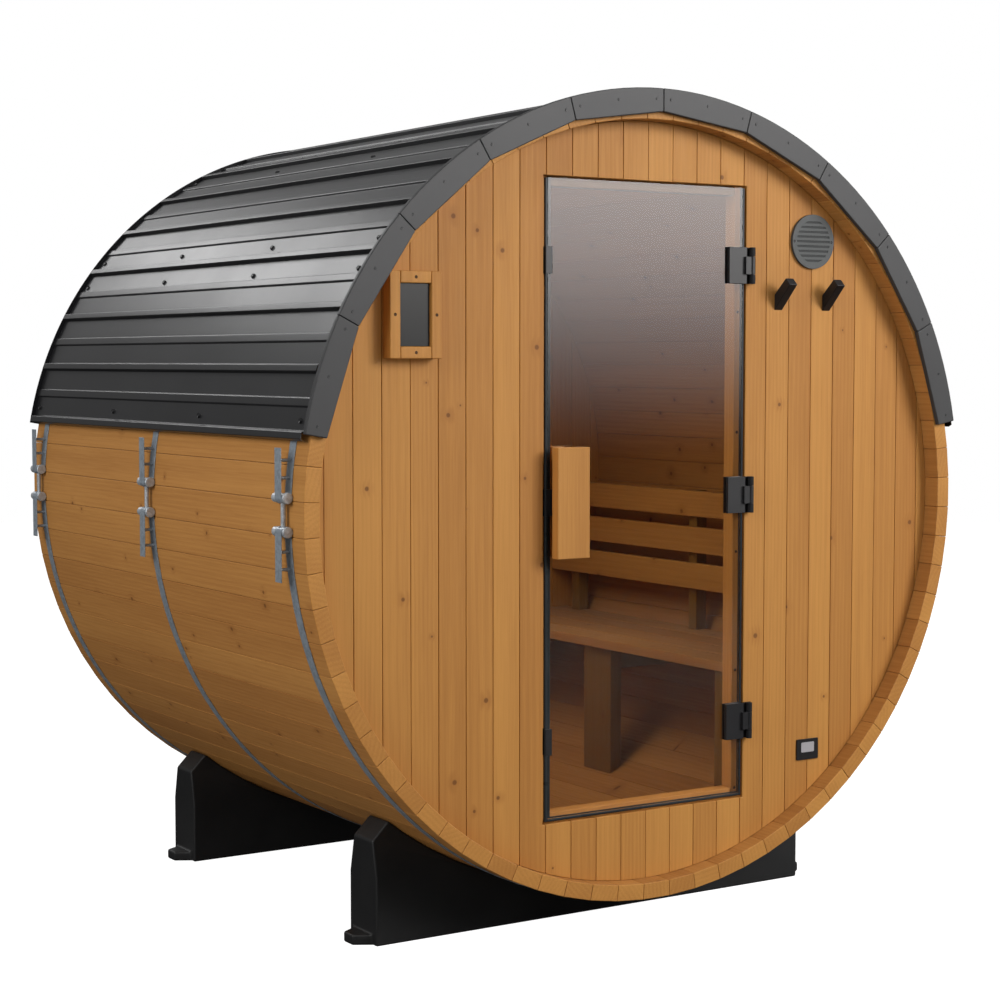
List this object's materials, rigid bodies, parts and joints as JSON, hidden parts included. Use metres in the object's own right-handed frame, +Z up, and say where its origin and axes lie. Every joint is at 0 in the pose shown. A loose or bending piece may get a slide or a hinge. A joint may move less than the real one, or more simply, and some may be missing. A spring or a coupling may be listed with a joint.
{
  "type": "barrel sauna",
  "caption": "Round wooden cabin of staves lying on two cradles, with steel bands, an arched ribbed metal roof, a hinged glass door and a bench inside.",
  "frame": {"origin": "on the ground under the middle of the barrel", "axes": "+Z up, +Y along the barrel from the door end to the back, +X to the right seen from the door"},
  "size_m": [2.104, 1.775, 2.1711],
  "materials": {
    "barrel_wood": "oiled warm brown staves",
    "wall_wood": "oiled warm brown boards",
    "frame_wood": "oiled warm brown wood",
    "bench_wood": "bare warm brown wood",
    "door_glass": "smoked clear glass",
    "panel_glass": "dark glossy glass",
    "seal_rubber": "black",
    "black_metal": "satin black",
    "roof_metal": "charcoal, low gloss",
    "fascia_metal": "charcoal, matt",
    "band_steel": "galvanised",
    "cradle_plastic": "black, fine texture",
    "vent_metal": "grey"
  },
  "bodies": {
    "cabin": {"staves_bottom": "barrel_wood", "staves_left": "barrel_wood", "staves_right": "barrel_wood", "staves_top": "barrel_wood", "front_wall_left": "wall_wood", "front_wall_right": "wall_wood", "front_wall_header": "wall_wood", "front_wall_sill": "wall_wood", "rear_wall": "wall_wood", "door_stop_left": "frame_wood", "door_stop_right": "frame_wood", "door_stop_head": "frame_wood", "door_stop_sill": "frame_wood", "panel_box_frame": "frame_wood", "bench_seat": "bench_wood", "bench_frames": "bench_wood", "backrest_slats": "bench_wood", "backrest_posts": "bench_wood", "roof_battens": "bench_wood", "panel_box_glass": "panel_glass", "hinge_brackets": "black_metal", "catch_plates": "black_metal", "robe_hooks": "black_metal", "roof_sheet_left_low": "roof_metal", "roof_sheet_left_middle": "roof_metal", "roof_sheet_left_top": "roof_metal", "roof_sheet_right_low": "roof_metal", "roof_sheet_right_middle": "roof_metal", "roof_sheet_right_top": "roof_metal", "front_fascia": "fascia_metal", "rear_fascia": "fascia_metal", "steel_band_front": "band_steel", "steel_band_middle": "band_steel", "steel_band_rear": "band_steel", "band_tensioners_left": "band_steel", "band_tensioners_right": "band_steel", "cradle_front": "cradle_plastic", "cradle_rear": "cradle_plastic", "vent_grille": "vent_metal"},
    "door": {"door_glass": "door_glass", "door_seal": "seal_rubber", "hinge_clamps": "black_metal", "door_handle_outer": "frame_wood", "door_handle_inner": "frame_wood", "handle_posts": "black_metal"}
  },
  "joints": [
    {"name": "door_hinge", "type": "hinge", "parent": "cabin", "child": "door", "pos_m": [0.334, -0.8355, 1.1251], "axis": [0, 0, 1], "range_deg": [0, 105]}
  ]
}
